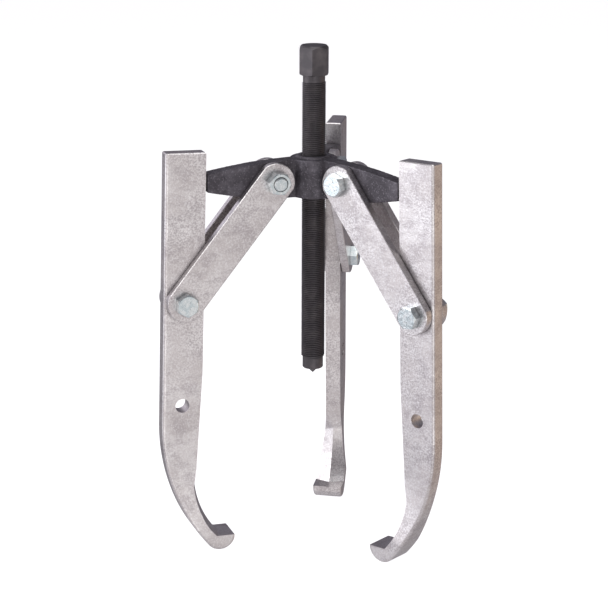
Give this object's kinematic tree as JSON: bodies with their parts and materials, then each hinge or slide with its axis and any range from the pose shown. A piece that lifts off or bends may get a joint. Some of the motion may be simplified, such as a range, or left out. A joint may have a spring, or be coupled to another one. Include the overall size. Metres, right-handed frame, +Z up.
{
  "type": "gear puller",
  "caption": "Adjustable three-jaw puller: hooked flat jaws hang on link pairs from a black three-armed crosshead, with a hex-headed forcing screw through its hub.",
  "frame": {"origin": "lowest point of the forcing screw, on its axis, where it presses on the shaft", "axes": "+Z up along the screw towards its hex head; +Y towards the rear jaw, with the other two jaws at 120 degrees on either side"},
  "size_m": [0.2686, 0.241, 0.479],
  "materials": {
    "black_casting": "black oxide on a forged skin, satin",
    "black_oxide": "black oxide, satin",
    "plated_steel": "dull plated steel over a lightly tumbled forging",
    "zinc": "bright zinc plating"
  },
  "bodies": {
    "crosshead": {"crosshead": "black_casting"},
    "centre_point": {"centre_point": "black_oxide"},
    "forcing_screw": {"forcing_screw": "black_oxide"},
    "links_rear": {"link_rear_a": "plated_steel", "link_rear_b": "plated_steel", "upper_bolt_rear": "zinc", "upper_nut_rear": "zinc", "lower_bolt_rear": "zinc", "lower_nut_rear": "zinc"},
    "jaw_rear": {"jaw_rear": "plated_steel"},
    "links_left": {"link_left_a": "plated_steel", "link_left_b": "plated_steel", "upper_bolt_left": "zinc", "upper_nut_left": "zinc", "lower_bolt_left": "zinc", "lower_nut_left": "zinc"},
    "jaw_left": {"jaw_left": "plated_steel"},
    "links_right": {"link_right_a": "plated_steel", "link_right_b": "plated_steel", "upper_bolt_right": "zinc", "upper_nut_right": "zinc", "lower_bolt_right": "zinc", "lower_nut_right": "zinc"},
    "jaw_right": {"jaw_right": "plated_steel"}
  },
  "joints": [
    {"name": "screw_travel", "type": "slide", "parent": "crosshead", "child": "centre_point", "axis": [0, 0, -1], "range_m": [-0.15, 0.06]},
    {"name": "screw_turn", "type": "hinge", "parent": "centre_point", "child": "forcing_screw", "pos_m": [0, 0, 0.15], "axis": [0, 0, -1], "range_deg": [-29764, 11906]},
    {"name": "link_swing_rear", "type": "hinge", "parent": "crosshead", "child": "links_rear", "pos_m": [0, 0.041, 0.1919], "axis": [1, 0, 0], "range_deg": [-6, 20]},
    {"name": "jaw_pivot_rear", "type": "hinge", "parent": "links_rear", "child": "jaw_rear", "pos_m": [0, 0.12892, 0.08333], "axis": [1, 0, 0], "range_deg": [-9, 0]},
    {"name": "link_swing_left", "type": "hinge", "parent": "crosshead", "child": "links_left", "pos_m": [-0.03551, -0.0205, 0.1919], "axis": [-0.5, 0.866, 0], "range_deg": [-6, 20]},
    {"name": "jaw_pivot_left", "type": "hinge", "parent": "links_left", "child": "jaw_left", "pos_m": [-0.11164, -0.06446, 0.08333], "axis": [-0.5, 0.866, 0], "range_deg": [-9, 0]},
    {"name": "link_swing_right", "type": "hinge", "parent": "crosshead", "child": "links_right", "pos_m": [0.03551, -0.0205, 0.1919], "axis": [-0.5, -0.866, 0], "range_deg": [-6, 20]},
    {"name": "jaw_pivot_right", "type": "hinge", "parent": "links_right", "child": "jaw_right", "pos_m": [0.11164, -0.06446, 0.08333], "axis": [-0.5, -0.866, 0], "range_deg": [-9, 0]}
  ],
  "couplings": [
    {"joint": "screw_turn", "follows": "screw_travel", "rad_per_m": 3463.2}
  ]
}
